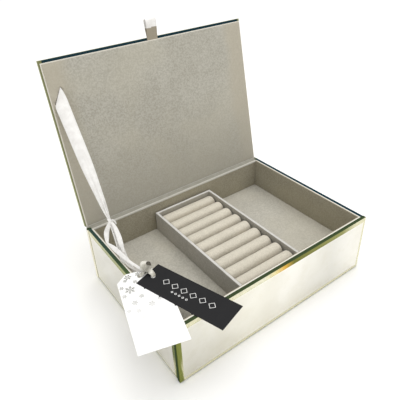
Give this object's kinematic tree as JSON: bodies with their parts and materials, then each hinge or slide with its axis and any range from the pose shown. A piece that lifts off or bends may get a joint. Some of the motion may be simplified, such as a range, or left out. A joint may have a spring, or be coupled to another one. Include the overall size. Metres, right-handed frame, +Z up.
{
  "type": "vanity trinket box",
  "caption": "Mirrored glass trinket box with a book lid on a cloth hinge and ribbon stay, velvet lining, and a lift-out ring tray.",
  "frame": {"origin": "centre of the underside of the box, on the surface that it stands on", "axes": "+Z up, +X to the right and -Y to the front, seen from the side that the lid opens towards"},
  "size_m": [0.3204, 0.2726, 0.2978],
  "materials": {
    "mirror_glass": "polished, bevelled, greenish edge",
    "carcass_board": "matte cream paper wrap",
    "lining_velvet": "short nap velvet",
    "floor_velvet": "short nap velvet",
    "tray_velvet": "short nap velvet",
    "roll_velvet": "short nap velvet",
    "hinge_cloth": "woven book cloth",
    "satin_ribbon": "satin",
    "white_card": "smooth card",
    "black_card": "smooth card",
    "base_felt": "felt"
  },
  "bodies": {
    "box": {"base_felt": "base_felt", "base_board": "carcass_board", "front_board": "carcass_board", "back_board": "carcass_board", "left_board": "carcass_board", "right_board": "carcass_board", "front_mirror": "mirror_glass", "back_mirror": "mirror_glass", "left_mirror": "mirror_glass", "right_mirror": "mirror_glass", "front_lining": "lining_velvet", "back_lining": "lining_velvet", "left_lining": "lining_velvet", "right_lining": "lining_velvet", "floor_ledges": "carcass_board", "floor_board": "carcass_board", "floor_pad": "floor_velvet", "box_hinge_cloth": "hinge_cloth", "stay_ribbon": "satin_ribbon", "tag_ribbon": "satin_ribbon", "ribbon_bow": "satin_ribbon"},
    "lid": {"lid_mirror": "mirror_glass", "lid_board": "carcass_board", "lid_lining": "lining_velvet", "lid_hinge_cloth": "hinge_cloth", "pull_tab": "satin_ribbon"},
    "tray": {"tray_base": "tray_velvet", "tray_front_wall": "tray_velvet", "tray_back_wall": "tray_velvet", "tray_left_wall": "tray_velvet", "tray_right_wall": "tray_velvet", "roll_bed": "roll_velvet", "ring_roll_1": "roll_velvet", "ring_roll_2": "roll_velvet", "ring_roll_3": "roll_velvet", "ring_roll_4": "roll_velvet", "ring_roll_5": "roll_velvet", "ring_roll_6": "roll_velvet", "ring_roll_7": "roll_velvet", "ring_roll_8": "roll_velvet", "ring_roll_9": "roll_velvet"},
    "white_tag_body": {"white_tag": "white_card"},
    "black_tag_body": {"black_tag": "black_card"}
  },
  "joints": [
    {"name": "lid_hinge", "type": "hinge", "parent": "box", "child": "lid", "pos_m": [0, 0.1002, 0.0802], "axis": [1, 0, 0], "range_deg": [0, 99.7], "deforming": ["stay_ribbon", "tag_ribbon", "ribbon_bow"]},
    {"name": "tray_lift", "type": "slide", "parent": "box", "child": "tray", "axis": [0, 0, 1], "range_m": [0, 0.065]},
    {"name": "white_tag_swing", "type": "hinge", "parent": "box", "child": "white_tag_body", "pos_m": [-0.12974, -0.01595, 0.08], "axis": [0, 0, 1], "range_deg": [-30, 12]},
    {"name": "black_tag_swing", "type": "hinge", "parent": "box", "child": "black_tag_body", "pos_m": [-0.11879, -0.02567, 0.0805], "axis": [0, 0, 1], "range_deg": [-15, 10]}
  ]
}
